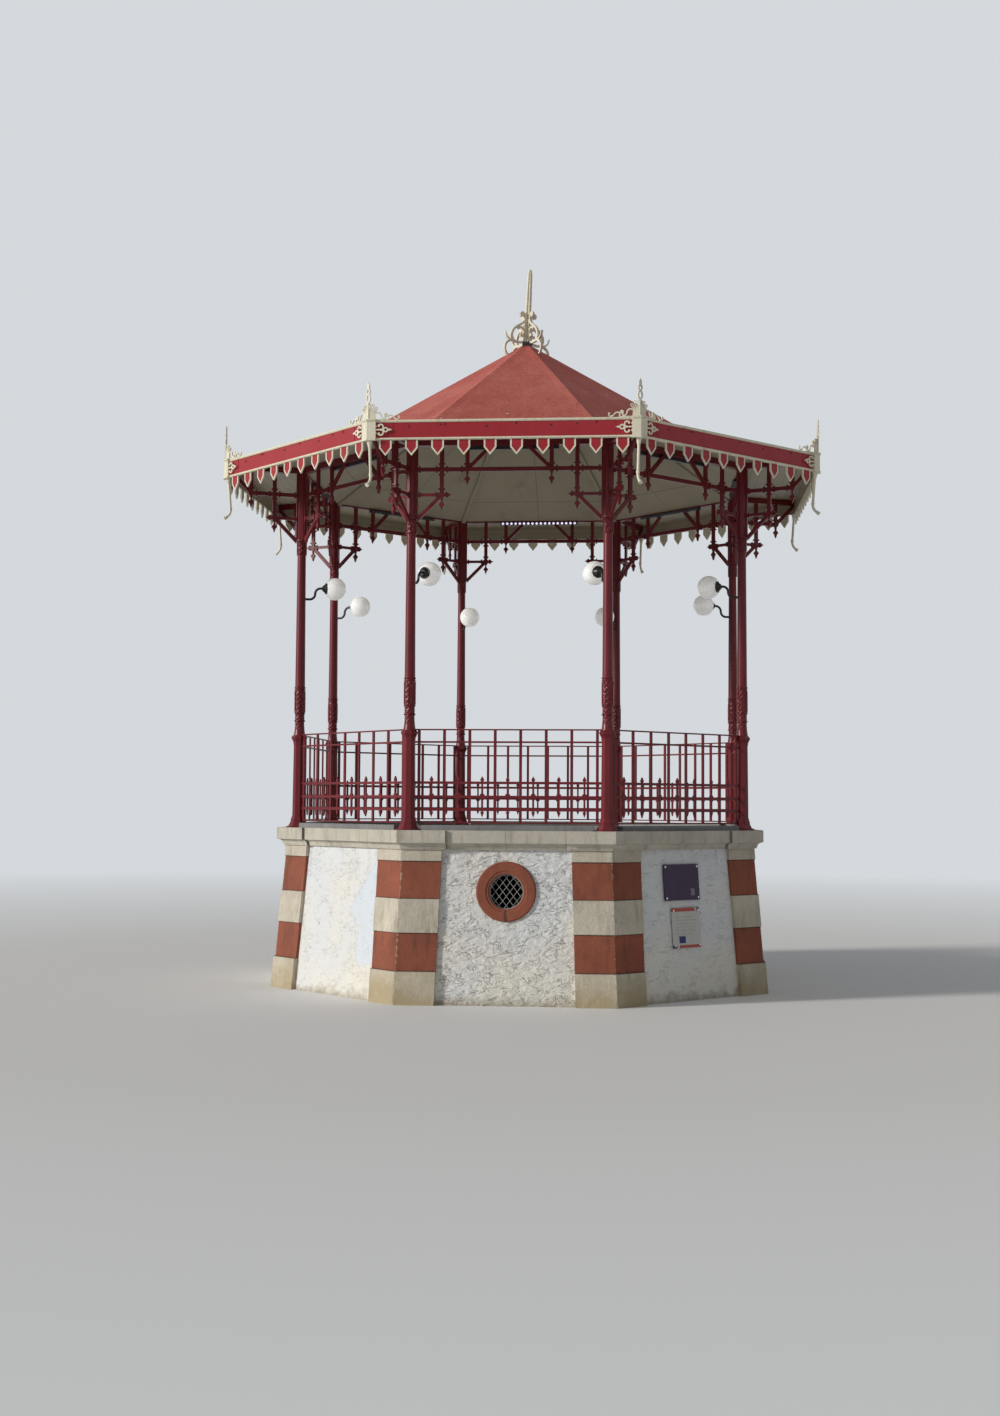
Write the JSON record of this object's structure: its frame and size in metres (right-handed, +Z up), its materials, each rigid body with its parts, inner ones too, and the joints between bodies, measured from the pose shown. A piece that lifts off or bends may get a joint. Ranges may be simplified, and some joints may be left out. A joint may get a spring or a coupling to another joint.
{
  "type": "bandstand",
  "caption": "Octagonal cast-iron bandstand with a red pyramid roof, pierced friezes, dart railings and scroll finials on a battered stone plinth",
  "frame": {"origin": "ground level under the roof's point, at the centre of the octagon", "axes": "+Z up, -Y out of the front side, the one with a round vent that faces the viewer; +X to the viewer's right"},
  "size_m": [6.462, 6.462, 8.1978],
  "materials": {
    "roughcast": "rough",
    "grey_stone": "rough",
    "terracotta_paint": "matt",
    "pale_stone": "rough",
    "deck_paving": "rough",
    "kerb_stone": "rough",
    "galvanised_wire": "satin",
    "enamel_plate": "gloss",
    "oxblood_iron": "gloss paint",
    "olive_boards": "satin paint",
    "red_fascia": "satin paint",
    "cream_trim": "satin paint",
    "red_roof": "matt paint",
    "dark_metal": "satin",
    "opal_glass": "gloss",
    "lamp_housing": "satin"
  },
  "bodies": {
    "root": {"plinth_walls": "roughcast", "pier_stones": "grey_stone", "pier_painted_blocks": "terracotta_paint", "cornice": "pale_stone", "deck_floor": "deck_paving", "kerb_stones": "kerb_stone", "vent_surrounds": "terracotta_paint", "vent_grilles": "galvanised_wire", "wall_plates": "enamel_plate", "column_front_left": "oxblood_iron", "column_front_right": "oxblood_iron", "column_right_front": "oxblood_iron", "column_right_rear": "oxblood_iron", "column_rear_right": "oxblood_iron", "column_rear_left": "oxblood_iron", "column_left_rear": "oxblood_iron", "column_left_front": "oxblood_iron", "railing_front": "oxblood_iron", "railing_front_right": "oxblood_iron", "railing_right": "oxblood_iron", "railing_rear_right": "oxblood_iron", "railing_rear": "oxblood_iron", "railing_rear_left": "oxblood_iron", "railing_left": "oxblood_iron", "railing_front_left": "oxblood_iron", "frieze_front": "oxblood_iron", "frieze_front_right": "oxblood_iron", "frieze_right": "oxblood_iron", "frieze_rear_right": "oxblood_iron", "frieze_rear": "oxblood_iron", "frieze_rear_left": "oxblood_iron", "frieze_left": "oxblood_iron", "frieze_front_left": "oxblood_iron", "corner_brackets": "oxblood_iron", "eaves_beams": "oxblood_iron", "soffit_boards": "olive_boards", "fascia_boards": "red_fascia", "valance_tabs": "cream_trim", "corner_boxes": "cream_trim", "corner_finials": "cream_trim", "rain_spouts": "cream_trim", "roof_ribs": "olive_boards", "ceiling_boards": "olive_boards", "roof_covering": "red_roof", "apex_finial": "cream_trim", "lamp_arms": "dark_metal", "lamp_globes": "opal_glass", "light_bars": "lamp_housing"}
  },
  "joints": []
}
